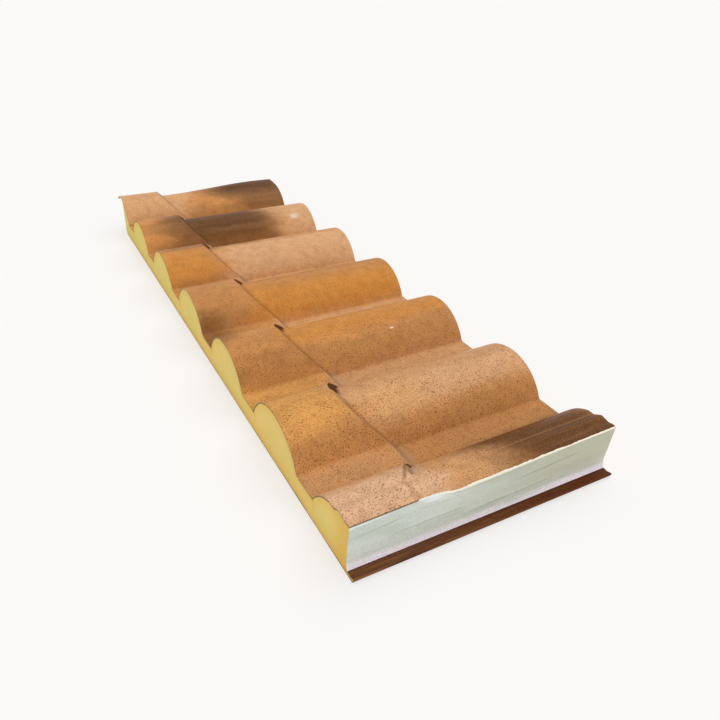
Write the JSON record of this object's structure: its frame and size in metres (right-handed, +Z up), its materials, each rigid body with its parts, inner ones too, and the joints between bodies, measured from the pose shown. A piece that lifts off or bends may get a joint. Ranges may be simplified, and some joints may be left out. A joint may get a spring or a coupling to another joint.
{
  "type": "tile effect roof panel",
  "caption": "Insulated roof panel sample: pressed tile-effect steel skin with barrels and a course step, rigid foam core, flat liner with tongue, side-lap ribs.",
  "frame": {"origin": "middle of the underside of the whole outline", "axes": "+X down the roof along the ribs, +Y across the ribs from the underlap edge with the tongue to the overlap edge, +Z up out of the roof"},
  "size_m": [0.342, 1.0551, 0.0719],
  "materials": {
    "printed_skin": "satin printed coat, aged terracotta with dark speckles and scorched patches",
    "foam": "sawn rigid foam, fine open cells",
    "liner": "satin printed coat, dark wood grain along the panel",
    "facing": "pale grey-green foil-faced paper, creased lengthwise"
  },
  "bodies": {
    "root": {"top_sheet": "printed_skin", "foam_core": "foam", "liner_sheet": "liner", "near_edge_facing": "facing", "far_edge_facing": "facing"}
  },
  "joints": []
}
